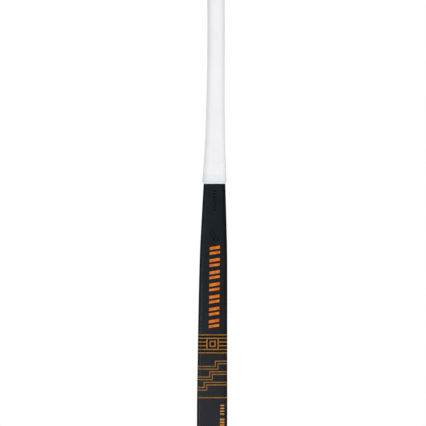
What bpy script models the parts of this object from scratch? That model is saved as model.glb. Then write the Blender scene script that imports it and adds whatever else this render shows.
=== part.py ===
"""Field hockey stick, built as the layers and pieces that a composite stick has.

All dimensions are millimetres and become metres only when a mesh is written.
The stick stands upright: +Z runs up the handle, the flat playing side looks
along -Y, and the toe of the hooked head points along -X. The row's origin is
the centre of the butt cap's flat top, so a point at height h above the base of
the head lies at z = h - LENGTH.

Every layer is a loft of D-shaped cross-sections along one J-shaped centreline:
straight down the shaft, round the inner curve of the head, and up the toe.
"""

import math

import bpy
import bmesh

METRE = 0.001

# Overall size
LENGTH = 927.0
GAP = 0.3

# Head: a hook round an inner circle, with the toe as a straight run at its end
INNER_RADIUS = 20.0
BASE_THICKNESS = 40.0
INNER_CIRCLE_X = -50.0
INNER_CIRCLE_H = 60.3
TOE_ANGLE = 174.0
TOE_RUN = 38.5
TOE_ROUNDING = 13.0
HEAD_CORNER = 5.0

# Bow: the middle of the shaft stands back from the line between head and handle
BOW_DEPTH = 22.0
BOW_HEIGHT = 250.0
BOW_END = 800.0
HEAD_TILT = 0.13
FLAT_HEAD_HEIGHT = 112.0

# Cross-section of the bare shaft by height above the base
SHAFT_WIDTH = [(60, 47.0), (120, 48.0), (208, 49.0), (295, 47.8), (400, 45.9), (467, 43.8),
               (515, 40.2), (573, 35.2), (592, 33.0), (641, 28.1), (680, 26.0), (717, 24.7),
               (775, 23.7), (927, 23.5)]
SHAFT_OFFSET = [(60, -6.5), (208, -6.25), (343, -5.3), (439, -4.25), (535, -3.0),
                (592, -2.25), (640, -1.45), (698, -0.85), (775, 0.0), (927, 0.0)]
SHAFT_DEPTH = [(60, 20.5), (120, 20.5), (208, 21.0), (400, 22.4), (500, 23.8), (573, 25.5),
               (640, 27.0), (700, 28.5), (775, 29.5), (927, 29.5)]
SHAFT_CORNER = [(60, HEAD_CORNER), (120, HEAD_CORNER), (208, 6.0), (573, 6.5), (700, 8.5),
                (775, 9.2), (927, 9.2)]
SHAFT_CORNER_RISE = [(60, HEAD_CORNER), (120, HEAD_CORNER), (208, 6.0), (573, 7.5), (700, 11.0),
                     (775, 13.5), (927, 13.5)]
BACK_SQUARENESS = 2.25
LEAST_CORNER = 1.0
TIP_CORNER_SHARE = 0.6

# Cross-section of the head by the angle swept round the inner circle
HEAD_WIDTH = [(0, 47.0), (45, 44.0), (90, BASE_THICKNESS), (135, 33.5), (TOE_ANGLE, 28.0)]
HEAD_DEPTH = [(0, 20.5), (90, 20.5), (TOE_ANGLE, 18.5)]
TOE_END_WIDTH = 26.0

# Layers, as insets from the outside of the bare stick
SHELL_WALL = [(60, 3.0), (160, 2.4), (300, 2.0), (927, 2.0)]
HEAD_WALL = 3.0
TUBE_WALL = 1.0
TUBE_TOP = 600.0
TUBE_BOTTOM = 152.0
CORE_RECESS = 3.0
HEAD_CORE_TOP = 148.0
HEAD_CAVITY_STOP = 8.0

# Handle end: foam plug, then the cap's spigot, then the cap's flange
FLANGE_THICKNESS = 4.5
FLANGE_EDGE = 1.8
FLANGE_OVERHANG = 2.9
SPIGOT_LENGTH = 26.0
SPIGOT_LEAD = 1.0
SHELL_TOP = LENGTH - FLANGE_THICKNESS - GAP
PLUG_TOP = SHELL_TOP - SPIGOT_LENGTH
PLUG_BOTTOM = TUBE_TOP + 2.0

# Wrapped layers over the handle
UNDERWRAP_THICKNESS = 0.5
GRIP_BUILD_UP = 2.2
GRIP_BOTTOM = 579.6
UNDERWRAP_BOTTOM = 582.0
BAND_TOP = 595.5
BAND_STEP = GRIP_BOTTOM - GAP
BAND_BOTTOM = 576.5
BAND_THICKNESS = 0.45
BAND_DRAW_IN = 0.9
WRAP_TOP = SHELL_TOP - GAP

# Mesh resolution: points round a section, then millimetres between sections
CORNER_STEPS = 4
FRONT_STEPS = 4
BACK_STEPS = 12
HEAD_STEPS = 18
TOE_STEPS = 3
TIP_STEPS = 5
TIP_STOP_SHORT = 0.25
RIM_STEPS = 4
HANDLE_SPACING = 62
SHAFT_SPACING = 22
FOOT_SPACING = 18
INNER_SPACING = 28
WRAP_SPACING = 24
SHARP_DEGREES = 40
STRAIGHT_HANDLE_FROM = 800
FOOT_FROM = 160
CAVITY_TOE_RUNS = (8.0, 16.0, TOE_RUN - TOE_ROUNDING - 1.0)


def profile(stations, place):
    """Value at a place on a smooth curve through (place, value) stations."""
    if place <= stations[0][0]:
        return stations[0][1]
    if place >= stations[-1][0]:
        return stations[-1][1]
    last = len(stations) - 1
    i = 0
    while place > stations[i + 1][0]:
        i += 1

    def slope(k):
        if k in (0, last):
            return 0.0
        rise = stations[k + 1][1] - stations[k - 1][1]
        return rise / (stations[k + 1][0] - stations[k - 1][0])

    run = stations[i + 1][0] - stations[i][0]
    return hermite(place - stations[i][0], run, stations[i][1], stations[i + 1][1],
                   slope(i), slope(i + 1))


def hermite(x, run, start, end, start_slope, end_slope):
    """Cubic from start to end over a run, with the slopes given at both ends."""
    t = x / run
    return ((2 * t ** 3 - 3 * t ** 2 + 1) * start
            + (t ** 3 - 2 * t ** 2 + t) * run * start_slope
            + (3 * t ** 2 - 2 * t ** 3) * end
            + (t ** 3 - t ** 2) * run * end_slope)


def bow(h):
    """How far back the stick's axis stands at height h."""
    if h <= FLAT_HEAD_HEIGHT:
        return HEAD_TILT * h
    if h <= BOW_HEIGHT:
        return hermite(h - FLAT_HEAD_HEIGHT, BOW_HEIGHT - FLAT_HEAD_HEIGHT,
                       HEAD_TILT * FLAT_HEAD_HEIGHT, BOW_DEPTH, HEAD_TILT, 0.0)
    if h <= BOW_END:
        return hermite(h - BOW_HEIGHT, BOW_END - BOW_HEIGHT, BOW_DEPTH, 0.0, 0.0, 0.0)
    return 0.0


def shaft_cut(h):
    """Cross-section of the bare shaft at height h."""
    depth = profile(SHAFT_DEPTH, h)
    return {"centre": (profile(SHAFT_OFFSET, h), h), "across": (1.0, 0.0),
            "width": profile(SHAFT_WIDTH, h), "front": -depth / 2, "back": depth / 2,
            "corner": profile(SHAFT_CORNER, h), "corner_rise": profile(SHAFT_CORNER_RISE, h),
            "wall": profile(SHELL_WALL, h)}


def head_cut(angle):
    """Cross-section of the head at an angle swept round the inner circle."""
    turn = math.radians(angle)
    across = (math.cos(turn), -math.sin(turn))
    width = profile(HEAD_WIDTH, angle)
    reach = INNER_RADIUS + width / 2
    front = -HEAD_DEPTH[0][1] / 2
    return {"centre": (INNER_CIRCLE_X + reach * across[0], INNER_CIRCLE_H + reach * across[1]),
            "across": across, "width": width, "front": front,
            "back": front + profile(HEAD_DEPTH, angle), "corner": HEAD_CORNER,
            "corner_rise": HEAD_CORNER, "wall": HEAD_WALL}


def toe_cut(run):
    """Cross-section of the toe at a run along its axis, closing in over the rounded tip."""
    base = head_cut(TOE_ANGLE)
    along = (base["across"][1], -base["across"][0])
    full = base["width"] + (TOE_END_WIDTH - base["width"]) * run / TOE_RUN
    into_tip = max(0.0, (run - TOE_RUN + TOE_ROUNDING) / TOE_ROUNDING)
    roundness = math.sqrt(max(0.0, 1.0 - into_tip ** 2))
    into_edge = max(0.0, (run - TOE_RUN + HEAD_CORNER) / HEAD_CORNER)
    set_back = HEAD_CORNER * (1.0 - math.sqrt(max(0.0, 1.0 - into_edge ** 2)))
    front = base["front"] + set_back
    depth = (base["back"] - base["front"]) * (0.45 + 0.55 * roundness) - set_back
    corner = min(HEAD_CORNER, full * roundness * 0.3, depth * 0.3)
    return {"centre": (base["centre"][0] + along[0] * run, base["centre"][1] + along[1] * run),
            "across": base["across"], "width": full * roundness, "front": front,
            "back": front + depth, "corner": corner, "corner_rise": corner, "wall": HEAD_WALL}


def outline(cut, inset):
    """D-shaped ring of (across, depth) points: flat front, round corners, full back."""
    half = cut["width"] / 2 - inset
    front = cut["front"] + inset
    corner = min(max(cut["corner"] - inset, LEAST_CORNER), half * TIP_CORNER_SHARE)
    rise = max(cut["corner_rise"] - inset, LEAST_CORNER)
    reach = cut["back"] - inset - front - rise
    flat = half - corner
    bend = []
    for k in range(CORNER_STEPS + 1):
        turn = math.pi / 2 * k / CORNER_STEPS
        bend.append((flat + corner * math.sin(turn), front + rise * (1 - math.cos(turn))))
    points = [(flat * (2 * k / FRONT_STEPS - 1), front) for k in range(1, FRONT_STEPS)]
    points += bend
    power = 2 / BACK_SQUARENESS
    for k in range(1, BACK_STEPS):
        turn = math.pi * k / BACK_STEPS
        side = math.copysign(abs(math.cos(turn)) ** power, math.cos(turn))
        points.append((half * side, front + rise + reach * math.sin(turn) ** power))
    points += [(-u, v) for u, v in reversed(bend)]
    return points


def half_outline(cut, inset, side, centre_inset):
    """One half of the ring, on the heel side (+1) or toe side (-1) of a centre rib."""
    ring = outline(cut, inset)
    middle_front = FRONT_STEPS // 2 - 1
    middle_back = FRONT_STEPS - 1 + CORNER_STEPS + 1 + BACK_STEPS // 2 - 1
    heel = ring[middle_front:middle_back + 1]
    heel = [(centre_inset, heel[0][1])] + heel[1:-1] + [(centre_inset, heel[-1][1])]
    if side > 0:
        return heel
    return [(-u, v) for u, v in reversed(heel)]


def place(cut, points):
    """Ring of 3-D points, in metres, from a cross-section and its outline."""
    ring = []
    for u, v in points:
        x = cut["centre"][0] + cut["across"][0] * u
        h = cut["centre"][1] + cut["across"][1] * u
        ring.append((x * METRE, (v + bow(h)) * METRE, (h - LENGTH) * METRE))
    return ring


def stations(top, bottom, step):
    """Heights from top down to bottom, about step apart."""
    count = max(1, round((top - bottom) / step))
    return [top + (bottom - top) * k / count for k in range(count + 1)]


def material(name, colour, roughness, metallic=0.0):
    """Principled material from an sRGB colour."""
    made = bpy.data.materials.new(name)
    made.use_nodes = True
    shader = made.node_tree.nodes["Principled BSDF"]
    linear = [((c + 0.055) / 1.055) ** 2.4 if c > 0.04045 else c / 12.92 for c in colour]
    shader.inputs["Base Color"].default_value = (*linear, 1.0)
    shader.inputs["Roughness"].default_value = roughness
    shader.inputs["Metallic"].default_value = metallic
    made.diffuse_color = (*linear, 1.0)
    return made


def bridge(mesh_data, rows):
    """Faces between rings of equal count, from the first row to the last."""
    count = len(rows[0])
    for upper, lower in zip(rows, rows[1:]):
        for k in range(count):
            follow = (k + 1) % count
            mesh_data.faces.new((upper[follow], upper[k], lower[k], lower[follow]))


def add_rings(mesh_data, rings):
    """Vertices for each ring of points."""
    return [[mesh_data.verts.new(point) for point in ring] for ring in rings]


def named_object(name, mesh_data, finish):
    """Object from a closed bmesh, shaded smooth except over sharp edges."""
    bmesh.ops.recalc_face_normals(mesh_data, faces=mesh_data.faces)
    mesh = bpy.data.meshes.new(name)
    mesh_data.to_mesh(mesh)
    mesh_data.free()
    mesh.materials.append(finish)
    mesh.shade_smooth()
    mesh.set_sharp_from_angle(angle=math.radians(SHARP_DEGREES))
    piece = bpy.data.objects.new(name, mesh)
    bpy.context.scene.collection.objects.link(piece)
    return piece


def solid(name, rings, finish):
    """Solid lofted through rings of equal count, with flat ends."""
    mesh_data = bmesh.new()
    rows = add_rings(mesh_data, rings)
    bridge(mesh_data, rows)
    mesh_data.faces.new(rows[0])
    mesh_data.faces.new(list(reversed(rows[-1])))
    return named_object(name, mesh_data, finish)


def tube(name, rings, finish):
    """Open-ended tube: rings down the outside, then back up the inside to the first."""
    mesh_data = bmesh.new()
    rows = add_rings(mesh_data, rings)
    bridge(mesh_data, rows + rows[:1])
    return named_object(name, mesh_data, finish)


def pocket(name, outside, inside, finish):
    """Closed skin with a blind cavity, both open at their first ring."""
    mesh_data = bmesh.new()
    outer = add_rings(mesh_data, outside)
    inner = add_rings(mesh_data, inside)
    bridge(mesh_data, outer)
    bridge(mesh_data, inner)
    bridge(mesh_data, [outer[0], inner[0]])
    mesh_data.faces.new(outer[-1])
    mesh_data.faces.new(inner[-1])
    return named_object(name, mesh_data, finish)


def hook_cuts(shaft_from):
    """Cuts from a height on the foot of the shaft, down and round the hook to the toe."""
    foot = stations(shaft_from, INNER_CIRCLE_H, FOOT_SPACING)[:-1]
    cuts = [shaft_cut(h) for h in foot]
    cuts += [head_cut(TOE_ANGLE * k / HEAD_STEPS) for k in range(HEAD_STEPS + 1)]
    return cuts


def toe_cuts():
    """Cuts up the toe and over its rounded tip."""
    straight = TOE_RUN - TOE_ROUNDING
    cuts = [toe_cut(straight * k / TOE_STEPS) for k in range(1, TOE_STEPS + 1)]
    for k in range(1, TIP_STEPS + 1):
        swept = math.pi / 2 * k / (TIP_STEPS + TIP_STOP_SHORT)
        cuts.append(toe_cut(straight + TOE_ROUNDING * math.sin(swept)))
    return cuts


def shaft_shell(finish):
    """Laminated outer shell: shaft, head and toe in one, open at the butt."""
    handle = stations(SHELL_TOP, STRAIGHT_HANDLE_FROM, HANDLE_SPACING)
    shaft = stations(STRAIGHT_HANDLE_FROM, FOOT_FROM, SHAFT_SPACING)
    cuts = [shaft_cut(h) for h in handle + shaft[1:]] + hook_cuts(FOOT_FROM)[1:]
    outside = [place(cut, outline(cut, 0.0)) for cut in cuts + toe_cuts()]
    cavity = cuts + [toe_cut(run) for run in CAVITY_TOE_RUNS]
    inside = [place(cut, outline(cut, cut["wall"])) for cut in cavity]
    return pocket("shaft_shell", outside, inside, finish)


def head_core(finish):
    """Stiff core that fills the hook and the foot of the shaft."""
    cuts = hook_cuts(HEAD_CORE_TOP)
    core_stop = TOE_RUN - TOE_ROUNDING - HEAD_CAVITY_STOP
    cuts += [toe_cut(run) for run in (CAVITY_TOE_RUNS[0], core_stop)]
    return solid("head_core", [place(cut, outline(cut, cut["wall"] + GAP)) for cut in cuts], finish)


def inner_tube(name, side, finish):
    """Braided sleeve in one half of the shaft, open at both ends."""
    cuts = [shaft_cut(h) for h in stations(TUBE_TOP, TUBE_BOTTOM, INNER_SPACING)]
    rings = []
    for cut in cuts:
        inset = cut["wall"] + GAP
        rings.append(place(cut, half_outline(cut, inset, side, GAP / 2)))
    for cut in reversed(cuts):
        inset = cut["wall"] + GAP + TUBE_WALL
        rings.append(place(cut, half_outline(cut, inset, side, GAP / 2 + TUBE_WALL)))
    return tube(name, rings, finish)


def foam_core(name, side, finish):
    """Light foam rod inside one braided sleeve."""
    rings = []
    for h in stations(TUBE_TOP - CORE_RECESS, TUBE_BOTTOM + CORE_RECESS, INNER_SPACING):
        cut = shaft_cut(h)
        inset = cut["wall"] + 2 * GAP + TUBE_WALL
        rings.append(place(cut, half_outline(cut, inset, side, GAP * 1.5 + TUBE_WALL)))
    return solid(name, rings, finish)


def handle_plug(finish):
    """Foam plug that fills the bore of the handle."""
    rings = []
    for h in stations(PLUG_TOP, PLUG_BOTTOM, INNER_SPACING):
        cut = shaft_cut(h)
        rings.append(place(cut, outline(cut, cut["wall"] + GAP)))
    return solid("handle_plug", rings, finish)


def butt_cap(finish):
    """Rubber cap: flat top, rounded rim, and a spigot that plugs the handle."""
    section = shaft_cut(LENGTH)
    under = LENGTH - FLANGE_THICKNESS
    bore = section["wall"] + GAP
    steps = []
    for k in range(RIM_STEPS + 1):
        turn = math.pi / 2 * k / RIM_STEPS
        steps.append((LENGTH - FLANGE_EDGE * (1 - math.cos(turn)),
                      FLANGE_EDGE * (1 - math.sin(turn)) - FLANGE_OVERHANG))
    steps += [(under, -FLANGE_OVERHANG), (under, bore),
              (under - SPIGOT_LENGTH + SPIGOT_LEAD, bore),
              (under - SPIGOT_LENGTH, bore + SPIGOT_LEAD)]
    rings = []
    for h, inset in steps:
        cut = dict(section, centre=(section["centre"][0], h))
        rings.append(place(cut, outline(cut, inset)))
    return solid("butt_cap", rings, finish)


def wrapped_layer(name, bottom, outer_build, inner_build, finish):
    """Even layer wrapped round the handle, from the cap down to a height."""
    cuts = [shaft_cut(h) for h in stations(WRAP_TOP, bottom, WRAP_SPACING)]
    rings = [place(cut, outline(cut, -outer_build)) for cut in cuts]
    rings += [place(cut, outline(cut, -inner_build)) for cut in reversed(cuts)]
    return tube(name, rings, finish)


def finishing_tape(finish):
    """Elastic band over the grip's lower end, stepping down on to the bare shaft."""
    over_grip = GRIP_BUILD_UP + GAP
    outer = over_grip + BAND_THICKNESS
    steps = [(BAND_TOP, outer), ((BAND_TOP + BAND_STEP) / 2, outer), (BAND_STEP, outer),
             (BAND_BOTTOM, outer - BAND_DRAW_IN), (BAND_BOTTOM, GAP), (BAND_STEP, GAP),
             (BAND_STEP, over_grip), (BAND_TOP, over_grip)]
    rings = []
    for h, build in steps:
        cut = shaft_cut(h)
        rings.append(place(cut, outline(cut, -build)))
    return tube("finishing_tape", rings, finish)


def build():
    """The whole stick, one object for each piece."""
    for old in list(bpy.data.objects):
        bpy.data.objects.remove(old, do_unlink=True)

    laminate = material("laminate", (0.14, 0.165, 0.185), 0.32)
    braid = material("braid", (0.10, 0.10, 0.11), 0.55)
    foam = material("foam", (0.86, 0.80, 0.62), 0.9)
    core = material("core", (0.55, 0.42, 0.27), 0.8)
    rubber = material("rubber", (0.13, 0.13, 0.14), 0.7)
    underwrap = material("underwrap", (0.72, 0.66, 0.50), 0.75)
    grip = material("grip", (0.935, 0.935, 0.95), 0.62)
    band = material("band", (0.89, 0.91, 0.93), 0.5)

    shaft_shell(laminate)
    head_core(core)
    for half, side in (("heel", 1), ("toe", -1)):
        inner_tube("inner_tube_" + half, side, braid)
        foam_core("foam_core_" + half, side, foam)
    handle_plug(foam)
    butt_cap(rubber)
    under = GAP + UNDERWRAP_THICKNESS
    wrapped_layer("adhesive_underwrap", UNDERWRAP_BOTTOM, under, GAP, underwrap)
    wrapped_layer("grip_tape", GRIP_BOTTOM, GRIP_BUILD_UP, under + GAP, grip)
    finishing_tape(band)


build()
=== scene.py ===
"""Looks of the field hockey stick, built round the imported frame.

Lengths are millimetres until a mesh is written. A height h is measured up from
the base of the head, so a point at height h lies at z = h - LENGTH. A place on
the shaft's skin is (s, h): s runs round the section from the middle of the flat
playing side, positive towards the heel.
"""

import math

import bmesh
import bpy
import numpy as np
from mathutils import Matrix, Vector, noise


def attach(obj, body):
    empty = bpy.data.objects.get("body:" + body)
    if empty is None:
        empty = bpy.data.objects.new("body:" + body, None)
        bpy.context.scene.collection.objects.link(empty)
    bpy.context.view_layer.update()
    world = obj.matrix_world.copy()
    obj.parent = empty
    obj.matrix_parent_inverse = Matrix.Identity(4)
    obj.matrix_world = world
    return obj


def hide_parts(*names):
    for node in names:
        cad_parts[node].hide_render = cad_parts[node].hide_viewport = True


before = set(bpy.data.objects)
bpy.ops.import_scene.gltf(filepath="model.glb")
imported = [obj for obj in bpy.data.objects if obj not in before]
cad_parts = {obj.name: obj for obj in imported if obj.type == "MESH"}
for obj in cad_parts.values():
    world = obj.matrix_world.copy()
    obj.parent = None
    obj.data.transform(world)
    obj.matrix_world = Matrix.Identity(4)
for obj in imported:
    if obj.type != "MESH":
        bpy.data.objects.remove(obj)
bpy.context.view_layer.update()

METRE = 0.001

# ---------------------------------------------------------------- the stick's shape
LENGTH = 927.0
GAP = 0.3

INNER_RADIUS = 20.0
BASE_THICKNESS = 40.0
INNER_CIRCLE_X = -50.0
INNER_CIRCLE_H = 60.3
TOE_ANGLE = 174.0
TOE_RUN = 38.5
TOE_ROUNDING = 13.0
TOE_END_WIDTH = 26.0
HEAD_CORNER = 5.0
LEAST_CORNER = 1.0
TIP_CORNER_SHARE = 0.6

BOW_DEPTH = 22.0
BOW_HEIGHT = 250.0
BOW_END = 800.0
HEAD_TILT = 0.13
FLAT_HEAD_HEIGHT = 112.0

SHAFT_WIDTH = [(60, 47.0), (120, 48.0), (208, 49.0), (295, 47.8), (400, 45.9), (467, 43.8),
               (515, 40.2), (573, 35.2), (592, 33.0), (641, 28.1), (680, 26.0), (717, 24.7),
               (775, 23.7), (927, 23.5)]
SHAFT_OFFSET = [(60, -6.5), (208, -6.25), (343, -5.3), (439, -4.25), (535, -3.0),
                (592, -2.25), (640, -1.45), (698, -0.85), (775, 0.0), (927, 0.0)]
SHAFT_DEPTH = [(60, 20.5), (120, 20.5), (208, 21.0), (400, 22.4), (500, 23.8), (573, 25.5),
               (640, 27.0), (700, 28.5), (775, 29.5), (927, 29.5)]
SHAFT_CORNER = [(60, HEAD_CORNER), (120, HEAD_CORNER), (208, 6.0), (573, 6.5), (700, 8.5),
                (775, 9.2), (927, 9.2)]
SHAFT_CORNER_RISE = [(60, HEAD_CORNER), (120, HEAD_CORNER), (208, 6.0), (573, 7.5), (700, 11.0),
                     (775, 13.5), (927, 13.5)]
BACK_SQUARENESS = 2.25

HEAD_WIDTH = [(0, 47.0), (45, 44.0), (90, BASE_THICKNESS), (135, 33.5), (TOE_ANGLE, 28.0)]
HEAD_DEPTH = [(0, 20.5), (90, 20.5), (TOE_ANGLE, 18.5)]

SHELL_WALL = [(60, 3.0), (160, 2.4), (300, 2.0), (927, 2.0)]
HEAD_WALL = 3.0
CAVITY_TOE_RUNS = (8.0, 16.0, TOE_RUN - TOE_ROUNDING - 1.0)

FLANGE_THICKNESS = 4.5
FLANGE_EDGE = 1.8
FLANGE_OVERHANG = 2.9
SPIGOT_LENGTH = 26.0
SHELL_TOP = LENGTH - FLANGE_THICKNESS - GAP
WRAP_TOP = SHELL_TOP - GAP

# The cap's sunk panel, from the middle out: (depth below the top, distance beyond the shaft)
CAP_PANEL = [(0.9, -8.5), (0.85, -4.6), (0.7, -4.2), (0.15, -3.9), (0.0, -3.6), (0.0, -1.2)]
CAP_RIM_ROUND = 2.0
# The groove round the rim: (depth below the top, depth cut in)
CAP_GROOVE = [(2.3, 0.0), (2.5, 0.25), (2.9, 0.25), (3.1, 0.0)]

GRIP_BOTTOM = 579.6
BAND_TOP = 595.5
BAND_BOTTOM = 576.5

# ---------------------------------------------------------------- the wound layers
TAPE_PITCH = 24.4
TAPE_WIDTH = 28.8
TAPE_THICKNESS = 1.2
TAPE_BASE = 0.86
SEAM_AT_TOE = 767.2
SEAM_TURN = 7.75
TURN_STEPS = 72
LEAST_STRIP = 2.0
LAYER_GAP = 0.02
LEAST_LAYER = 0.05
LAP_FADE = 4.0
LAP_FROM_TURN = 0.75
LAP_OVER_TURNS = 0.5
# The skived edge: shares of the tape's thickness at the edge, over its rounding, over the skive
EDGE_SHARE = 0.10
ROUND_SHARE = 0.20
SKIVE_SHARE = 0.70
EDGE_ROUNDING = 0.8
SKIVE_WIDTH = 5.5
# Slow waves in a strip's edge: (height, radians a turn, start)
SEAM_WAVES = ((0.35, 2.3, 0.0), (0.25, 5.1, 1.0))
BAND_WAVES = ((0.25, 9.0, 0.0), (0.2, 23.0, 1.0))
# Shares of the tape's width where its section has a point, closer together at the edges
TAPE_SAMPLES = [0.0, 0.004, 0.012, 0.025, 0.045, 0.07, 0.10, 0.135, 0.17, 0.21, 0.26, 0.32, 0.40,
                0.5, 0.6, 0.7, 0.78, 0.85, 0.89, 0.925, 0.955, 0.975, 0.99, 1.0]
# Where the tape's edge is puckered into a short ridge: (turn, ridge height)
CURLS = [(7.86, 1.0), (10.77, 0.5), (12.79, 0.9)]
CURL_TURNS = 0.045
CURL_FROM_EDGE = 0.9
CURL_WIDTH = 0.8
PUCKER_HEIGHT = 0.09
PUCKER_FADE = 3.0

BAND_FILM = 0.22
BAND_SQUEEZE = 0.62
UNDER_BAND = TAPE_BASE + TAPE_THICKNESS * BAND_SQUEEZE
BAND_FIRST_TURN = 0.12
BAND_LAST_TURN = 2.16
BAND_STEPS = 200
BAND_OFF_GRIP = 0.04
BAND_OFF_SHAFT = 0.05
BAND_DRAWN_IN = 0.4
SQUEEZE_FADE = 5.0
LOOSE_FROM_TURN = 1.93
LOOSE_OVER_TURNS = 0.12
LOOSE_LIFT = 0.35
CREASE_HEIGHT = 0.10
CREASE_BOTTOM = 581.0
CREASE_FADE = 4.0
# The band's path down over the grip's end, then on the shaft: (height, lift over what it lies on)
BAND_OVER_GRIP = [(592.5, 0.0), (589.5, 0.03), (586.5, 0.12), (583.5, 0.28), (581.8, 0.34),
                  (580.6, 0.22), (579.8, -0.2), (579.3, -0.9)]
BAND_ON_SHAFT = [(578.9, 0.4), (578.5, 0.1), (578.0, 0.0), (BAND_BOTTOM, 0.0)]

# ---------------------------------------------------------------- the print
PRINT_LIFT = 0.06
PANEL_LIFT = 0.03
PRINT_FOOT = -0.10
HAIR_GAP = 0.05

BLOCK_PAIRS = 7
BLOCK_TOP = 470.0
BLOCK_PITCH = 19.6
BLOCK_PLACE = 2.0
BLOCK_LENGTH = 16.4
BLOCK_SLOPE = 0.16
# The two bars of a pair: (height over the pair's middle, thickness)
BLOCK_BARS = ((4.0, 4.7), (-4.0, 4.0))

PINSTRIPE = 1.5
PINSTRIPE_END = 25.0
RING_HEIGHTS = (334.0, 305.2, 233.0)

EMBLEM_HEIGHT = 319.6
EMBLEM_HALVES = (9.0, 4.0)
EMBLEM_LINE = 2.1
LEAD_LINE = 1.7
LEAD_START = 10.2
LEAD_RISES = (-9.0, -3.0, 3.0, 9.0)
PANEL_HEIGHT = 26.0

STAIRS = 3
STAIR_BOTTOM = 245.0
STAIR_PITCH = 17.0
STAIR_RISE = 8.5
STAIR_START = -9.0
STAIR_SHIFT = 9.0
STAIR_TWIN = 4.2
STAIR_LINE = 1.4

DASH_PLACE = 16.2
DASH_PITCH = 4.6
# Groups of dashes: (top height, count, length, thickness)
DASHES = ((220.5, 4, 6.4, 1.9), (198.0, 9, 6.8, 2.9))

MARKS = 7
MARK_PLACE = 0.8
MARK_TOP = 565.0
MARK_PITCH = 5.0
MARK_LENGTH = 4.6
MARK_THICKNESS = 2.6
SLANTS = (((-7.0, 499.0), (3.0, 483.0)), ((-2.0, 501.0), (7.0, 487.0)))
SLANT_LINE = 2.4

# ---------------------------------------------------------------- mesh resolution
CORNER_STEPS = 8
FRONT_STEPS = 4
BACK_STEPS = 40
SHAFT_SPACING = 4.0
HEAD_STEPS = 84
TOE_SPACING = 2.0
TIP_STEPS = 18
TIP_STOP_SHORT = 0.35
CAVITY_EVERY = 4
RIM_STEPS = 7
STROKE_STEP = 1.2

LIGHT_AIM = (0.0, 0.0, -0.4)


def hermite(x, run, start, end, start_slope, end_slope):
    """Cubic from start to end over a run, with the slopes given at both ends."""
    t = x / run
    return ((2 * t ** 3 - 3 * t ** 2 + 1) * start
            + (t ** 3 - 2 * t ** 2 + t) * run * start_slope
            + (3 * t ** 2 - 2 * t ** 3) * end
            + (t ** 3 - t ** 2) * run * end_slope)


def profile(stations, place):
    """Value at a place on a smooth curve through (place, value) stations."""
    if place <= stations[0][0]:
        return stations[0][1]
    if place >= stations[-1][0]:
        return stations[-1][1]
    last = len(stations) - 1
    i = 0
    while place > stations[i + 1][0]:
        i += 1

    def slope(k):
        if k in (0, last):
            return 0.0
        rise = stations[k + 1][1] - stations[k - 1][1]
        return rise / (stations[k + 1][0] - stations[k - 1][0])

    run = stations[i + 1][0] - stations[i][0]
    return hermite(place - stations[i][0], run, stations[i][1], stations[i + 1][1],
                   slope(i), slope(i + 1))


def smooth(x):
    """0 below 0, 1 above 1, and a smooth rise between."""
    x = min(1.0, max(0.0, x))
    return x * x * (3 - 2 * x)


def bow(h):
    """How far back the stick's axis stands at height h."""
    if h <= FLAT_HEAD_HEIGHT:
        return HEAD_TILT * h
    if h <= BOW_HEIGHT:
        return hermite(h - FLAT_HEAD_HEIGHT, BOW_HEIGHT - FLAT_HEAD_HEIGHT,
                       HEAD_TILT * FLAT_HEAD_HEIGHT, BOW_DEPTH, HEAD_TILT, 0.0)
    if h <= BOW_END:
        return hermite(h - BOW_HEIGHT, BOW_END - BOW_HEIGHT, BOW_DEPTH, 0.0, 0.0, 0.0)
    return 0.0


def shaft_cut(h):
    """Cross-section of the bare shaft at height h."""
    depth = profile(SHAFT_DEPTH, h)
    return {"centre": (profile(SHAFT_OFFSET, h), h), "across": (1.0, 0.0),
            "width": profile(SHAFT_WIDTH, h), "front": -depth / 2, "back": depth / 2,
            "corner": profile(SHAFT_CORNER, h), "corner_rise": profile(SHAFT_CORNER_RISE, h),
            "wall": profile(SHELL_WALL, h)}


def head_cut(angle):
    """Cross-section of the head at an angle swept round the inner circle."""
    turn = math.radians(angle)
    across = (math.cos(turn), -math.sin(turn))
    width = profile(HEAD_WIDTH, angle)
    reach = INNER_RADIUS + width / 2
    front = -HEAD_DEPTH[0][1] / 2
    return {"centre": (INNER_CIRCLE_X + reach * across[0], INNER_CIRCLE_H + reach * across[1]),
            "across": across, "width": width, "front": front,
            "back": front + profile(HEAD_DEPTH, angle), "corner": HEAD_CORNER,
            "corner_rise": HEAD_CORNER, "wall": HEAD_WALL}


def toe_cut(run):
    """Cross-section of the toe at a run along its axis, closing in over the rounded tip."""
    base = head_cut(TOE_ANGLE)
    along = (base["across"][1], -base["across"][0])
    full = base["width"] + (TOE_END_WIDTH - base["width"]) * run / TOE_RUN
    into_tip = max(0.0, (run - TOE_RUN + TOE_ROUNDING) / TOE_ROUNDING)
    roundness = math.sqrt(max(0.0, 1.0 - into_tip ** 2))
    into_edge = max(0.0, (run - TOE_RUN + HEAD_CORNER) / HEAD_CORNER)
    set_back = HEAD_CORNER * (1.0 - math.sqrt(max(0.0, 1.0 - into_edge ** 2)))
    front = base["front"] + set_back
    depth = (base["back"] - base["front"]) * (0.45 + 0.55 * roundness) - set_back
    corner = min(HEAD_CORNER, full * roundness * 0.3, depth * 0.3)
    return {"centre": (base["centre"][0] + along[0] * run, base["centre"][1] + along[1] * run),
            "across": base["across"], "width": full * roundness, "front": front,
            "back": front + depth, "corner": corner, "corner_rise": corner, "wall": HEAD_WALL}


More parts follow.
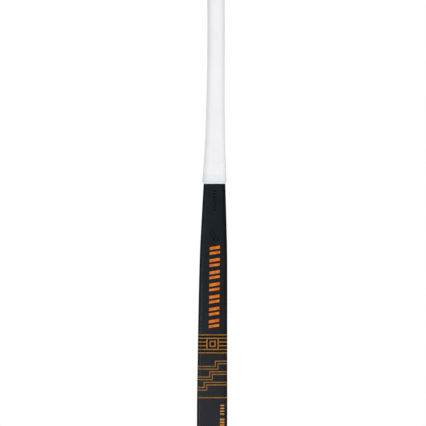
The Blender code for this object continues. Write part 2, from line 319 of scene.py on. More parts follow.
def outline(cut, build):
    """D-shaped ring of (across, depth) points from the middle of the flat front, heel first."""
    half = cut["width"] / 2 + build
    front = cut["front"] - build
    corner = min(max(cut["corner"] + build, LEAST_CORNER), half * TIP_CORNER_SHARE)
    rise = max(cut["corner_rise"] + build, LEAST_CORNER)
    reach = cut["back"] + build - front - rise
    flat = half - corner
    points = [(flat * k / FRONT_STEPS, front) for k in range(FRONT_STEPS)]
    bend = []
    for k in range(CORNER_STEPS + 1):
        turn = math.pi / 2 * k / CORNER_STEPS
        bend.append((flat + corner * math.sin(turn), front + rise * (1 - math.cos(turn))))
    points += bend
    for k in range(1, BACK_STEPS):
        turn = math.pi * k / BACK_STEPS
        power = 2 / BACK_SQUARENESS
        side = math.copysign(abs(math.cos(turn)) ** power, math.cos(turn))
        points.append((half * side, front + rise + reach * math.sin(turn) ** power))
    points += [(-u, v) for u, v in reversed(bend)]
    points += [(-flat * k / FRONT_STEPS, front) for k in range(FRONT_STEPS - 1, 0, -1)]
    return points


def place(cut, points):
    """Ring of 3-D points, in metres, from a cross-section and its outline."""
    ring = []
    for u, v in points:
        x = cut["centre"][0] + cut["across"][0] * u
        h = cut["centre"][1] + cut["across"][1] * u
        ring.append((x * METRE, (v + bow(h)) * METRE, (h - LENGTH) * METRE))
    return ring


def heights(top, bottom, step):
    """Heights from top down to bottom, about step apart."""
    count = max(1, round((top - bottom) / step))
    return [top + (bottom - top) * k / count for k in range(count + 1)]


class Skin:
    """The shaft's surface as a grid of points and outward directions, read at any (share, h)."""

    LOW, HIGH, STEP, SHARES = 62.0, 926.0, 2.0, 480

    def __init__(self):
        rows = []
        self.girth = []
        for h in np.arange(self.LOW, self.HIGH + self.STEP, self.STEP):
            cut = shaft_cut(float(h))
            ring = np.array(outline(cut, 0.0) + outline(cut, 0.0)[:1])
            walked = np.concatenate([[0.0], np.cumsum(np.hypot(*np.diff(ring, axis=0).T))])
            at = np.linspace(0.0, walked[-1], self.SHARES, endpoint=False)
            u = np.interp(at, walked, ring[:, 0])
            v = np.interp(at, walked, ring[:, 1])
            out = np.stack([np.roll(v, -2) - np.roll(v, 2), np.roll(u, 2) - np.roll(u, -2)], 1)
            out /= np.linalg.norm(out, axis=1, keepdims=True)
            rows.append(np.stack([u + cut["centre"][0], v, out[:, 0], out[:, 1]], 1))
            self.girth.append(walked[-1])
        self.rows = np.array(rows)
        self.girth = np.array(self.girth)

    def row(self, h):
        """Row below height h, and how far h is towards the next."""
        at = (min(max(h, self.LOW), self.HIGH) - self.LOW) / self.STEP
        low = min(int(at), len(self.girth) - 2)
        return low, at - low

    def around(self, h):
        """Length once round the section at height h."""
        low, part = self.row(h)
        return self.girth[low] * (1 - part) + self.girth[low + 1] * part

    def point(self, share, h, build):
        """3-D point, in metres, a build above the skin at a share of the way round."""
        low, part = self.row(h)
        across = (share % 1.0) * self.SHARES
        left = int(across) % self.SHARES
        right = (left + 1) % self.SHARES
        mix = across - int(across)
        upper = self.rows[low, left] * (1 - mix) + self.rows[low, right] * mix
        lower = self.rows[low + 1, left] * (1 - mix) + self.rows[low + 1, right] * mix
        x, y, nx, ny = upper * (1 - part) + lower * part
        return ((x + nx * build) * METRE, (y + ny * build + bow(h)) * METRE,
                (h - LENGTH) * METRE)


skin = Skin()


# ---------------------------------------------------------------- meshes
def finish_mesh(name, mesh_data, material, sharp):
    """Object from a bmesh, shaded smooth except over sharp edges."""
    bmesh.ops.recalc_face_normals(mesh_data, faces=mesh_data.faces)
    mesh = bpy.data.meshes.new(name)
    mesh_data.to_mesh(mesh)
    mesh_data.free()
    mesh.materials.append(material)
    mesh.shade_smooth()
    mesh.set_sharp_from_angle(angle=math.radians(sharp))
    piece = bpy.data.objects.new(name, mesh)
    bpy.context.scene.collection.objects.link(piece)
    return piece


def bridge(mesh_data, rows):
    """Faces between rings of equal count."""
    for upper, lower in zip(rows, rows[1:]):
        for k in range(len(upper)):
            follow = (k + 1) % len(upper)
            mesh_data.faces.new((upper[follow], upper[k], lower[k], lower[follow]))


def lofted(name, rings, material, sharp):
    """Closed solid through rings of equal count, with flat ends."""
    mesh_data = bmesh.new()
    rows = [[mesh_data.verts.new(point) for point in ring] for ring in rings]
    bridge(mesh_data, rows)
    mesh_data.faces.new(rows[0])
    mesh_data.faces.new(list(reversed(rows[-1])))
    return finish_mesh(name, mesh_data, material, sharp)


def film(name, grids, material, lift=PRINT_LIFT):
    """Thin printed plates that follow the skin; each grid is rows of (s, h) places."""
    mesh_data = bmesh.new()
    for grid in grids:
        layers = []
        for build in (lift, PRINT_FOOT):
            layer = []
            for row in grid:
                made = []
                for s, h in row:
                    made.append(mesh_data.verts.new(skin.point(s / skin.around(h), h, build)))
                layer.append(made)
            layers.append(layer)
        top, under = layers
        rows, columns = len(grid), len(grid[0])
        for i in range(rows - 1):
            for j in range(columns - 1):
                for layer in layers:
                    mesh_data.faces.new((layer[i][j], layer[i][j + 1],
                                         layer[i + 1][j + 1], layer[i + 1][j]))
        rim = [(0, j) for j in range(columns)]
        rim += [(i, columns - 1) for i in range(1, rows)]
        rim += [(rows - 1, j) for j in range(columns - 2, -1, -1)]
        rim += [(i, 0) for i in range(rows - 2, 0, -1)]
        for (i, j), (k, m) in zip(rim, rim[1:] + rim[:1]):
            mesh_data.faces.new((top[i][j], top[k][m], under[k][m], under[i][j]))
    return finish_mesh(name, mesh_data, material, 60)


def bar(s, h, length, thickness, slope, cells=(12, 3)):
    """Grid for a straight bar centred on (s, h), lying across the shaft at a slope."""
    grid = []
    for j in range(cells[1] + 1):
        row = []
        for i in range(cells[0] + 1):
            along = (i / cells[0] - 0.5) * length
            row.append((s + along, h + slope * along + (j / cells[1] - 0.5) * thickness))
        grid.append(row)
    return grid


def stroke(points, width):
    """Grid for an even line of a width along a path of (s, h) points, with mitred corners."""
    path = []
    for (s0, h0), (s1, h1) in zip(points, points[1:]):
        count = max(1, round(math.hypot(s1 - s0, h1 - h0) / STROKE_STEP))
        path += [(s0 + (s1 - s0) * k / count, h0 + (h1 - h0) * k / count)
                 for k in range(count)]
    path.append(points[-1])
    sides = ([], [])
    for k, (s, h) in enumerate(path):
        before = path[max(k - 1, 0)]
        after = path[min(k + 1, len(path) - 1)]
        turns = []
        for (a, b), (c, d) in ((before, (s, h)), ((s, h), after)):
            size = math.hypot(c - a, d - b)
            if size > 0:
                turns.append((-(d - b) / size, (c - a) / size))
        ns = sum(t[0] for t in turns) / len(turns)
        nh = sum(t[1] for t in turns) / len(turns)
        mitre = width / 2 / (ns * ns + nh * nh)
        sides[0].append((s + ns * mitre, h + nh * mitre))
        sides[1].append((s - ns * mitre, h - nh * mitre))
    return [sides[0], sides[1]]


# ---------------------------------------------------------------- materials
def linear(red, green, blue):
    """Linear colour from 0-255 sRGB."""
    made = []
    for level in (red, green, blue):
        c = level / 255
        made.append(((c + 0.055) / 1.055) ** 2.4 if c > 0.04045 else c / 12.92)
    return (*made, 1.0)


class Look:
    """A node material being built, with the shader's own sockets set directly."""

    def __init__(self, name, **constants):
        self.material = bpy.data.materials.new(name)
        self.material.use_nodes = True
        self.tree = self.material.node_tree
        self.shader = self.tree.nodes["Principled BSDF"]
        for key, value in constants.items():
            self.shader.inputs[key.replace("_", " ")].default_value = value
        self.place = self.add("ShaderNodeTexCoord").outputs["Object"]

    def add(self, kind, inputs=None, **settings):
        """New node with its settings, and its inputs linked or set."""
        made = self.tree.nodes.new(kind)
        for key, value in settings.items():
            setattr(made, key, value)
        for key, value in (inputs or {}).items():
            if isinstance(value, bpy.types.NodeSocket):
                self.tree.links.new(value, made.inputs[key])
            else:
                made.inputs[key].default_value = value
        return made

    def stretched(self, x, y, z, turn=(0, 0, 0)):
        """Object coordinates in cells per metre along each axis."""
        return self.add("ShaderNodeMapping", {"Vector": self.place, "Scale": (x, y, z),
                                              "Rotation": turn}).outputs["Vector"]

    def noise(self, scale, detail=2.0, vector=None, roughness=0.5, distortion=0.0):
        """Cloudy noise from 0 to 1; the scale is in cells per metre."""
        made = self.add("ShaderNodeTexNoise", {
            "Vector": vector or self.place, "Scale": scale, "Detail": detail,
            "Roughness": roughness, "Distortion": distortion})
        return made.outputs["Fac"]

    def cells(self, scale, feature="F1", smoothness=None):
        """Distance to the middle of the nearest cell."""
        made = self.add("ShaderNodeTexVoronoi", {"Vector": self.place, "Scale": scale},
                        feature=feature)
        if smoothness is not None:
            made.inputs["Smoothness"].default_value = smoothness
        return made.outputs["Distance"]

    def math(self, operation, a, b, clamp=False):
        """Two values combined."""
        return self.add("ShaderNodeMath", {0: a, 1: b}, operation=operation,
                        use_clamp=clamp).outputs[0]

    def range(self, value, low, high, to_low, to_high):
        """Value mapped from one range to another, and held at its ends."""
        return self.add("ShaderNodeMapRange", {
            "Value": value, "From Min": low, "From Max": high,
            "To Min": to_low, "To Max": to_high}).outputs["Result"]

    def blend(self, factor, first, second):
        """Mix of two colours, each a socket or a value."""
        made = self.add("ShaderNodeMix", {0: factor}, data_type="RGBA")
        for key, value in ((6, first), (7, second)):
            if isinstance(value, bpy.types.NodeSocket):
                self.tree.links.new(value, made.inputs[key])
            else:
                made.inputs[key].default_value = value
        return made.outputs[2]

    def height(self):
        """The object's own z."""
        return self.add("ShaderNodeSeparateXYZ", {"Vector": self.place}).outputs["Z"]

    def colour(self, socket):
        """Link the base colour."""
        self.tree.links.new(socket, self.shader.inputs["Base Color"])

    def roughness(self, socket):
        """Link the roughness."""
        self.tree.links.new(socket, self.shader.inputs["Roughness"])

    def bump(self, *layers):
        """Bump from (height socket, depth in mm) layers, coarsest first."""
        normal = None
        for socket, depth in layers:
            inputs = {"Height": socket, "Distance": depth * METRE, "Strength": 1.0}
            if normal is not None:
                inputs["Normal"] = normal
            normal = self.add("ShaderNodeBump", inputs).outputs["Normal"]
        self.tree.links.new(normal, self.shader.inputs["Normal"])


def z_of(h):
    """Row z, in metres, of a height above the base."""
    return (h - LENGTH) * METRE


def lacquer(name, high, low, rough=(0.30, 0.40), coat=0.35):
    """Satin lacquer over paint: colour drifting down the shaft, painted shade darkening it towards
    the heel side (+x), cloudy, with fine orange peel.
    """
    look = Look(name, Coat_Weight=coat, Coat_Roughness=0.22, IOR=1.5)
    down = look.range(look.height(), z_of(470), z_of(250), 0.0, 1.0)
    cloud = look.noise(22, 3, look.stretched(1.0, 1.0, 0.45))
    fine = look.noise(420, 2)
    shade = look.blend(down, linear(*high), linear(*low))
    across = look.add("ShaderNodeSeparateXYZ", {"Vector": look.place}).outputs["X"]
    # painted shade: darker and less blue towards +x, the heel side, where less light is reflected
    shade = look.blend(look.range(across, -0.02, 0.016, 0.0, 0.45), shade, linear(15, 17, 18))
    dark = look.blend(look.range(cloud, 0.35, 0.7, 0.0, 0.3), shade, (0.006, 0.008, 0.010, 1.0))
    look.colour(look.blend(look.range(fine, 0.5, 0.8, 0.0, 0.10), dark, (0.05, 0.055, 0.06, 1.0)))
    look.roughness(look.range(look.noise(60, 4), 0.3, 0.7, *rough))
    look.bump((look.noise(160, 2), 0.035), (look.noise(700, 1), 0.008))
    return look.material


def printed(name, colour, second):
    """Printed ink, drier than the lacquer round it, drifting between two tones."""
    look = Look(name, IOR=1.5, Specular_IOR_Level=0.25)
    drift = look.range(look.noise(130, 2), 0.38, 0.62, 0.0, 1.0)
    ink = look.blend(drift, linear(*colour), linear(*second))
    uneven = look.range(look.noise(420, 4), 0.45, 0.75, 0.0, 0.3)
    look.colour(look.blend(uneven, ink, linear(*[level * 0.8 for level in colour])))
    look.roughness(look.range(look.noise(60, 4), 0.3, 0.7, 0.42, 0.54))
    look.bump((look.noise(160, 2), 0.035), (look.noise(700, 1), 0.008))
    return look.material


def cushioned_grip():
    """White polyurethane grip: fine leather-like grain with painted shade in its pits, soft
    stretch marks, faint tone changes.
    """
    look = Look("grip_polyurethane", IOR=1.45, Sheen_Weight=0.12, Sheen_Roughness=0.45)
    tone = look.noise(14, 3)
    grain = look.cells(900, "SMOOTH_F1", 0.35)
    base = look.blend(look.range(tone, 0.35, 0.65, 0.0, 1.0), linear(241, 240, 242),
                      linear(237, 237, 241))
    # painted shade: darker where the grain's bump sinks into its pits
    painted_pit_shade = look.range(grain, 0.0, 0.45, 0.14, 0.0)
    look.colour(look.blend(painted_pit_shade, base, linear(206, 207, 212)))
    look.roughness(look.range(look.noise(300, 3), 0.3, 0.7, 0.52, 0.66))
    stretch = look.noise(120, 3, look.stretched(1.0, 1.0, 3.2, (0.0, 0.25, 0.0)), 0.6, 0.6)
    look.bump((stretch, 0.14), (grain, 0.05), (look.noise(2600, 2), 0.012))
    return look.material


def elastic_band():
    """Stretch tape: slightly blue white, darker and bluer towards the bottom, fine crosswise ribs
    with painted shade in their troughs, and a soft shine.
    """
    look = Look("band_elastic", IOR=1.48, Coat_Weight=0.15, Coat_Roughness=0.3)
    ribs = look.add("ShaderNodeTexWave", {
        "Vector": look.place, "Scale": 380.0, "Distortion": 1.2, "Detail": 2.0,
        "Detail Scale": 1.5}, wave_type="BANDS", bands_direction="Z").outputs["Fac"]
    down = look.range(look.height(), z_of(BAND_TOP), z_of(582.0), 0.0, 1.0)
    tone = look.math("ADD", down, look.range(look.noise(60, 3), 0.3, 0.7, -0.12, 0.12), True)
    base = look.blend(tone, linear(240, 242, 244), linear(227, 233, 238))
    # painted shade: darker in the troughs between the ribs, where the bump sinks
    look.colour(look.blend(look.range(ribs, 0.0, 0.4, 0.10, 0.0), base, linear(198, 207, 214)))
    look.roughness(look.range(look.noise(400, 2), 0.3, 0.7, 0.36, 0.5))
    look.bump((look.noise(90, 3), 0.10), (ribs, 0.03))
    return look.material


def moulded_rubber():
    """Dense black rubber with a matt, faintly dusty skin."""
    look = Look("cap_rubber", IOR=1.5)
    dust = look.noise(500, 5)
    look.colour(look.blend(look.range(dust, 0.45, 0.8, 0.0, 0.35), linear(34, 35, 37),
                           linear(58, 58, 60)))
    look.roughness(look.range(look.noise(200, 4), 0.3, 0.7, 0.62, 0.8))
    look.bump((look.noise(350, 3), 0.04), (look.noise(1800, 2), 0.02))
    return look.material


def braid():
    """Carbon sleeve: tows crossing at an angle, glossy resin over them; lighter on the raised tows
    as painted sheen and darker in the gaps as painted shade.
    """
    look = Look("braided_carbon", IOR=1.5, Coat_Weight=0.6, Coat_Roughness=0.2)
    waves = []
    for lean in (0.6, -0.6):
        waves.append(look.add("ShaderNodeTexWave", {
            "Vector": look.stretched(1, 1, 1, (0.0, lean, 0.0)), "Scale": 160.0,
            "Distortion": 0.3}, wave_type="BANDS", bands_direction="Z").outputs["Fac"])
    weave = look.math("MULTIPLY", waves[0], waves[1])
    # painted sheen on the raised tows and painted shade in the gaps between them
    look.colour(look.blend(weave, linear(18, 18, 20), linear(66, 67, 70)))
    look.roughness(look.range(weave, 0.0, 1.0, 0.35, 0.55))
    look.bump((weave, 0.12))
    return look.material


def foam(name, colour, painted_pore_shade):
    """Rigid foam with small round cells, painted shade darkening their hollows."""
    look = Look(name, IOR=1.4)
    cells = look.cells(700)
    # painted shade: darker at the cell centres, where the bump sinks into the pores
    look.colour(look.blend(look.range(cells, 0.0, 0.5, 0.0, 1.0), linear(*painted_pore_shade),
                           linear(*colour)))
    look.roughness(look.range(cells, 0.0, 0.5, 0.95, 0.8))
    look.bump((cells, 0.3))
    return look.material


def core_filler():
    """Dense head core: fibre flecks in tan resin."""
    look = Look("head_filler", IOR=1.5)
    flecks = look.noise(500, 4, look.stretched(1, 1, 0.25))
    look.colour(look.blend(look.range(flecks, 0.4, 0.65, 0.0, 1.0), linear(150, 112, 70),
                           linear(104, 78, 50)))
    look.roughness(look.range(flecks, 0.3, 0.7, 0.6, 0.8))
    look.bump((flecks, 0.15))
    return look.material


def adhesive_tape():
    """Double-sided tape: cream paper fibres."""
    look = Look("adhesive_tape", IOR=1.45)
    fibres = look.noise(380, 5, look.stretched(0.4, 0.4, 1.0), 0.6)
    look.colour(look.blend(look.range(fibres, 0.35, 0.7, 0.0, 1.0), linear(196, 182, 142),
                           linear(170, 152, 110)))
    look.roughness(look.range(fibres, 0.3, 0.7, 0.6, 0.8))
    look.bump((fibres, 0.06))
    return look.material


# ---------------------------------------------------------------- the hard pieces
def shell(material):
    """Outer shell with its blind cavity, open at the butt."""
    cuts = [shaft_cut(h) for h in heights(SHELL_TOP, INNER_CIRCLE_H, SHAFT_SPACING)[:-1]]
    cuts += [head_cut(TOE_ANGLE * k / HEAD_STEPS) for k in range(HEAD_STEPS + 1)]
    outside = cuts + toe_cuts()
    inside = cuts[::CAVITY_EVERY] + [toe_cut(run) for run in CAVITY_TOE_RUNS]
    mesh_data = bmesh.new()
    skins = []
    for chosen, share in ((outside, 0.0), (inside, -1.0)):
        rows = []
        for cut in chosen:
            ring = place(cut, outline(cut, share * cut["wall"]))
            rows.append([mesh_data.verts.new(point) for point in ring])
        bridge(mesh_data, rows)
        mesh_data.faces.new(rows[-1])
        skins.append(rows)
    mouth_out, mouth_in = skins[0][0], skins[1][0]
    for k in range(len(mouth_out)):
        follow = (k + 1) % len(mouth_out)
        mesh_data.faces.new((mouth_out[k], mouth_out[follow], mouth_in[follow], mouth_in[k]))
    return finish_mesh("shell_lacquered", mesh_data, material, 50)


def toe_cuts():
    """Cuts along the toe and over its rounded tip, closer together towards the end."""
    straight = TOE_RUN - TOE_ROUNDING
    count = round(straight / TOE_SPACING)
    cuts = [toe_cut(straight * k / count) for k in range(1, count + 1)]
    for k in range(1, TIP_STEPS + 1):
        swept = math.pi / 2 * k / (TIP_STEPS + TIP_STOP_SHORT)
        cuts.append(toe_cut(straight + TOE_ROUNDING * math.sin(swept)))
    return cuts


def cap(material):
    """Moulded cap: rounded rim, a sunk panel in the top, and the spigot in the handle."""
    rim = dict(shaft_cut(LENGTH), centre=(0.0, LENGTH))
    under = LENGTH - FLANGE_THICKNESS
    bore = -(rim["wall"] + GAP)
    steps = [(LENGTH - depth, build) for depth, build in CAP_PANEL]
    for k in range(RIM_STEPS + 1):
        turn = math.pi / 2 * k / RIM_STEPS
        steps.append((LENGTH - FLANGE_EDGE * (1 - math.cos(turn)),
                      FLANGE_OVERHANG - CAP_RIM_ROUND * (1 - math.sin(turn))))
    steps += [(LENGTH - depth, FLANGE_OVERHANG - cut_in) for depth, cut_in in CAP_GROOVE]
    steps += [(under + 0.3, FLANGE_OVERHANG), (under, FLANGE_OVERHANG - 0.3), (under, 1.0),
              (under, bore + 0.05), (under - 0.4, bore), (under - 8.0, bore),
              (under - SPIGOT_LENGTH + 1.0, bore), (under - SPIGOT_LENGTH, bore - 1.0)]
    rings = []
    for h, build in steps:
        cut = dict(rim, centre=(0.0, h))
        rings.append(place(cut, outline(cut, build)))
    return lofted("cap_moulded", rings, material, 35)


# ---------------------------------------------------------------- the wound pieces
def ribbon(name, turns, section, material):
    """Closed strip wound round the handle; section(turn) gives its (h, build) ring."""
    rings = [[skin.point(turn, h, build) for h, build in section(turn)] for turn in turns]
    return lofted(name, rings, material, 70)


def tape_body(edge):
    """Thickness of the grip tape at a distance from its nearer, skived edge."""
    edge = max(edge, 0.0)
    rounded = math.sqrt(min(edge / EDGE_ROUNDING, 1.0))
    skived = smooth(edge / SKIVE_WIDTH)
    return TAPE_THICKNESS * (EDGE_SHARE + ROUND_SHARE * rounded + SKIVE_SHARE * skived)


def wander(waves, turn):
    """Sum of slow waves at a turn."""
    return sum(rise * math.sin(turn * rate + start) for rise, rate, start in waves)


def seam_height(turn):
    """Height of the tape's upper edge."""
    return SEAM_AT_TOE + TAPE_PITCH * (SEAM_TURN - turn) + wander(SEAM_WAVES, turn)


def grip_section(turn):
    """Ring of the grip tape at a turn, clipped level at both ends of the grip."""
    top = seam_height(turn)
    first = max(0.0, top - WRAP_TOP)
    last = min(TAPE_WIDTH, top - GRIP_BOTTOM)
    lap = TAPE_WIDTH - (seam_height(turn - 1.0) - top)
    curl = sum(lift * math.exp(-((turn - at) / CURL_TURNS) ** 2) for at, lift in CURLS)
    outer, inner = [], []
    for share in TAPE_SAMPLES:
        t = first + (last - first) * share
        covered = tape_body(lap - t) if t < lap else TAPE_THICKNESS * EDGE_SHARE
        under = covered * (1.0 - smooth((t - lap) / LAP_FADE)) if t > lap else covered
        under *= smooth((turn - LAP_FROM_TURN) / LAP_OVER_TURNS)
        proud = curl * math.exp(-((t - CURL_FROM_EDGE) / CURL_WIDTH) ** 2)
        pucker = PUCKER_HEIGHT * noise.noise(Vector((turn * 7.0, t * 0.22, 4.0)))
        soft = pucker * smooth(t / PUCKER_FADE) * smooth((TAPE_PITCH - t) / LAP_FADE)
        low = TAPE_BASE + under + LAYER_GAP
        high = low + tape_body(min(t, TAPE_WIDTH - t)) + soft + proud
        squeezed = smooth((BAND_TOP + SQUEEZE_FADE - (top - t)) / SQUEEZE_FADE)
        high -= squeezed * max(0.0, high - UNDER_BAND)
        inner.append((top - t, min(low, high - LEAST_LAYER)))
        outer.append((top - t, high))
    return outer + list(reversed(inner))


def band_section(turn):
    """Ring of the finishing band: over the grip's end, then down on to the bare shaft."""
    stacked = BAND_FILM * max(turn - 1.0, 0.0)
    over = UNDER_BAND + BAND_OFF_GRIP + stacked
    rest = BAND_OFF_SHAFT + stacked * BAND_DRAWN_IN
    loose = LOOSE_LIFT * smooth((turn - LOOSE_FROM_TURN) / LOOSE_OVER_TURNS)
    path = [(BAND_TOP + wander(BAND_WAVES, turn), over)]
    path += [(h, over + lift) for h, lift in BAND_OVER_GRIP]
    path += [(h, rest + lift) for h, lift in BAND_ON_SHAFT]
    crease = CREASE_HEIGHT * math.sin(turn * 31.0) * math.sin(turn * 13.0 + 2.0)
    outer, inner = [], []
    for h, build in path:
        lift = build + loose + crease * smooth((h - CREASE_BOTTOM) / CREASE_FADE)
        outer.append((h, lift + BAND_FILM))
        inner.append((h, lift))
    return outer + list(reversed(inner))


def grip(material):
    """The long strip of grip tape."""
    first = SEAM_TURN - (WRAP_TOP + TAPE_WIDTH - LEAST_STRIP - SEAM_AT_TOE) / TAPE_PITCH
    last = SEAM_TURN + (SEAM_AT_TOE - GRIP_BOTTOM - LEAST_STRIP) / TAPE_PITCH
    count = round((last - first) * TURN_STEPS)
    turns = [first + (last - first) * k / count for k in range(count + 1)]
    return ribbon("grip_wound_tape", turns, grip_section, material)


def band(material):
    """Two turns of stretch tape, its free end on the heel side."""
    run = BAND_LAST_TURN - BAND_FIRST_TURN
    turns = [BAND_FIRST_TURN + run * k / BAND_STEPS for k in range(BAND_STEPS + 1)]
    return ribbon("band_stretch_tape", turns, band_section, material)


# ---------------------------------------------------------------- the printed pieces
def ring_line(h, width, rows=1, columns=180):
    """Grid for a line, or a taller panel, round the shaft; its ends meet behind, a hair apart."""
    grid = []
    for j in range(rows + 1):
        level = h + (j / rows - 0.5) * width
        girth = skin.around(level) - HAIR_GAP
        grid.append([(girth * (k / columns - 0.5), level) for k in range(columns + 1)])
    return grid


def square_line(h, half, width):
    """Grid for a square outline centred on the flat side at height h, its ends a hair apart."""
    hair = HAIR_GAP / 2
    return stroke([(hair, h - half), (half, h - half), (half, h + half), (-half, h + half),
                   (-half, h - half), (-hair, h - half)], width)


def block_grids():
    """Pairs of slanted bars down the flat side."""
    grids = []
    for k in range(BLOCK_PAIRS):
        middle = BLOCK_TOP - BLOCK_PITCH * k
        for rise, thickness in BLOCK_BARS:
            grids.append(bar(BLOCK_PLACE, middle + rise, BLOCK_LENGTH, thickness, BLOCK_SLOPE))
    return grids


def line_grids():
    """Ring lines, twin stepped pinstripes, and nested squares with leads to either side."""
    grids = [ring_line(h, PINSTRIPE) for h in RING_HEIGHTS]
    for k in range(STAIRS):
        for twin in (0.0, STAIR_TWIN):
            h = STAIR_BOTTOM + STAIR_PITCH * k + twin
            s = STAIR_START + STAIR_SHIFT * k - twin
            grids.append(stroke([(-PINSTRIPE_END, h), (s, h), (s, h + STAIR_RISE),
                                 (PINSTRIPE_END, h + STAIR_RISE)], STAIR_LINE))
    grids += [square_line(EMBLEM_HEIGHT, half, EMBLEM_LINE) for half in EMBLEM_HALVES]
    for side in (-1, 1):
        for rise in LEAD_RISES:
            h = EMBLEM_HEIGHT + rise
            grids.append(stroke([(LEAD_START * side, h), (PINSTRIPE_END * side, h)], LEAD_LINE))
    return grids


def dash_grids():
    """Groups of short dashes near the heel side."""
    grids = []
    for top, count, length, thickness in DASHES:
        for k in range(count):
            grids.append(bar(DASH_PLACE, top - DASH_PITCH * k, length, thickness, 0.0, (6, 2)))
    return grids


def mark_grids():
    """Tone-on-tone marks under the band: a column of bars and two slanted strokes."""
    grids = []
    for k in range(MARKS):
        grids.append(bar(MARK_PLACE, MARK_TOP - MARK_PITCH * k, MARK_LENGTH, MARK_THICKNESS,
                         0.0, (4, 2)))
    grids += [stroke(ends, SLANT_LINE) for ends in SLANTS]
    return grids


# ---------------------------------------------------------------- build the stick
black = lacquer("shaft_lacquer", (4, 23, 32), (32, 34, 39))
orange = printed("print_orange", (212, 88, 0), (222, 132, 6))
line_ink = printed("print_line_ink", (148, 92, 22), (158, 114, 38))
amber = printed("print_amber", (184, 124, 36), (204, 152, 62))
# the ghost marks carry the same painted shade towards the heel side as the lacquer
ghost = lacquer("print_ghost", (2, 10, 14), (10, 14, 18), (0.2, 0.28), 0.0)

stick_shell = shell(black)
butt = cap(moulded_rubber())
wound_grip = grip(cushioned_grip())
stretch_band = band(elastic_band())
prints = [film("print_blocks", block_grids(), orange),
          film("print_lines", line_grids(), line_ink),
          film("print_dashes", dash_grids(), amber),
          film("print_ghost_marks", mark_grids(), ghost),
          film("print_panel", [ring_line(EMBLEM_HEIGHT, PANEL_HEIGHT, 8)], ghost, PANEL_LIFT)]

for piece, node, slot in ((stick_shell, "shaft_shell", "shaft_lacquer"),
                          (butt, "butt_cap", "cap_rubber"),
                          (wound_grip, "grip_tape", "grip_wrap"),
                          (stretch_band, "finishing_tape", "finishing_band")):
    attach(piece, "root")
    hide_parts(node)
for piece in prints:
    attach(piece, "root")

hidden_looks = {
    "inner_tube_heel": braid(), "head_core": core_filler(), "adhesive_underwrap": adhesive_tape(),
    "foam_core_heel": foam("core_foam", (222, 206, 160), (176, 156, 110)),
    "handle_plug": foam("plug_foam", (226, 212, 170), (184, 166, 122)),
}
hidden_looks["inner_tube_toe"] = hidden_looks["inner_tube_heel"]
hidden_looks["foam_core_toe"] = hidden_looks["foam_core_heel"]
for node, look in hidden_looks.items():
    mesh = bpy.data.objects[node].data
    mesh.materials.clear()
    mesh.materials.append(look)


# ---------------------------------------------------------------- stage, light and camera
def pale_floor():
    """Round pale floor under the head."""
    look = Look("studio_floor")
    cloud = look.noise(3.0, 3)
    look.colour(look.blend(cloud, linear(236, 236, 236), linear(242, 242, 242)))
    look.roughness(look.range(look.noise(40, 3), 0.3, 0.7, 0.75, 0.9))
    look.bump((look.noise(300, 2), 0.02))
    bpy.ops.mesh.primitive_cylinder_add(vertices=128, radius=0.7, depth=0.02,
                                        location=(0.0, 0.0, z_of(0.0) - 0.0105))
    floor = bpy.context.object
    floor.name = "studio_floor"
    floor.data.materials.append(look.material)


def soft_box(name, place_at, size, power, glossy=True):
    """Area light aimed at the stick; fills don't show in reflections."""
    lamp = bpy.data.lights.new(name, "AREA")
    lamp.shape = "RECTANGLE"
    lamp.size, lamp.size_y = size
    lamp.energy = power
    made = bpy.data.objects.new(name, lamp)
    bpy.context.scene.collection.objects.link(made)
    made.location = place_at
    way = Vector(LIGHT_AIM) - Vector(place_at)
    made.rotation_euler = way.to_track_quat("-Z", "Y").to_euler()
    made.visible_glossy = glossy
    made.visible_camera = False


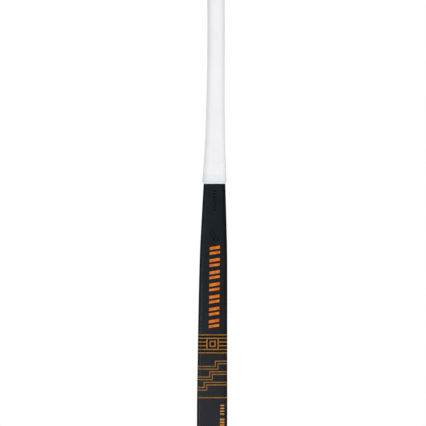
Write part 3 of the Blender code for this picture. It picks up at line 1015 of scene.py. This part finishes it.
def studio_world():
    """White backdrop to the camera, an even tent of light, and a dimmer room in reflections."""
    world = bpy.data.worlds.new("studio")
    world.use_nodes = True
    tree = world.node_tree
    tree.nodes.clear()

    def add(kind, **inputs):
        made = tree.nodes.new(kind)
        for key, value in inputs.items():
            made.inputs[key.replace("_", " ")].default_value = value
        return made

    way = add("ShaderNodeTexCoord")
    split = add("ShaderNodeSeparateXYZ")
    tree.links.new(way.outputs["Generated"], split.inputs["Vector"])
    room = add("ShaderNodeMapRange", From_Min=-0.2, From_Max=0.75, To_Min=0.12, To_Max=0.01)
    tree.links.new(split.outputs["X"], room.inputs["Value"])
    behind = add("ShaderNodeMapRange", From_Min=-0.5, From_Max=0.2, To_Min=1.0, To_Max=0.25)
    tree.links.new(split.outputs["Y"], behind.inputs["Value"])
    above = add("ShaderNodeMapRange", From_Min=0.3, From_Max=0.9, To_Min=0.0, To_Max=0.35)
    tree.links.new(split.outputs["Z"], above.inputs["Value"])
    level = add("ShaderNodeMath")
    level.operation = "MULTIPLY_ADD"
    tree.links.new(above.outputs["Result"], level.inputs[2])
    tree.links.new(room.outputs["Result"], level.inputs[0])
    tree.links.new(behind.outputs["Result"], level.inputs[1])
    tent = add("ShaderNodeBackground", Color=(1.0, 1.0, 1.0, 1.0), Strength=0.68)
    dim = add("ShaderNodeBackground", Color=(1.0, 1.0, 1.0, 1.0))
    white = add("ShaderNodeBackground", Color=(1.0, 1.0, 1.0, 1.0), Strength=1.0)
    tree.links.new(level.outputs[0], dim.inputs["Strength"])
    ray = add("ShaderNodeLightPath")
    for_gloss = add("ShaderNodeMixShader")
    tree.links.new(ray.outputs["Is Glossy Ray"], for_gloss.inputs[0])
    tree.links.new(tent.outputs[0], for_gloss.inputs[1])
    tree.links.new(dim.outputs[0], for_gloss.inputs[2])
    for_eye = add("ShaderNodeMixShader")
    tree.links.new(ray.outputs["Is Camera Ray"], for_eye.inputs[0])
    tree.links.new(for_gloss.outputs[0], for_eye.inputs[1])
    tree.links.new(white.outputs[0], for_eye.inputs[2])
    out = add("ShaderNodeOutputWorld")
    tree.links.new(for_eye.outputs[0], out.inputs["Surface"])
    bpy.context.scene.world = world


def photo_camera():
    """Long lens square on to the flat side, level with the middle of the part in view."""
    lens, sensor = 135.0, 36.0
    view_height, view_middle = 681.6, 529.8
    across_middle = -0.0048
    data = bpy.data.cameras.new("photo_camera")
    data.lens, data.sensor_width = lens, sensor
    camera = bpy.data.objects.new("photo_camera", data)
    bpy.context.scene.collection.objects.link(camera)
    distance = view_height * METRE * lens / sensor
    camera.location = (across_middle, -distance, z_of(view_middle))
    camera.rotation_euler = (math.radians(90), 0.0, 0.0)
    bpy.context.scene.camera = camera


pale_floor()
studio_world()
for side in (-1, 1):
    soft_box(f"front_fill_{side}", (0.55 * side, -2.6, -0.6), (0.9, 1.8), 11.4, glossy=False)
    soft_box(f"back_fill_{side}", (0.9 * side, 2.2, 0.0), (0.9, 1.6), 12, glossy=False)
soft_box("heel_fill", (2.3, -1.3, -0.4), (0.8, 1.6), 5.5, glossy=False)
soft_box("strip_low_left", (-1.5, -2.06, -1.24), (0.3, 0.8), 2.8)
soft_box("strip_behind", (0.25, 2.5, -0.4), (0.3, 1.8), 4)
soft_box("top_soft", (0.0, -0.3, 1.7), (1.2, 1.2), 1.3)
photo_camera()
bpy.context.scene.view_settings.view_transform = "Standard"
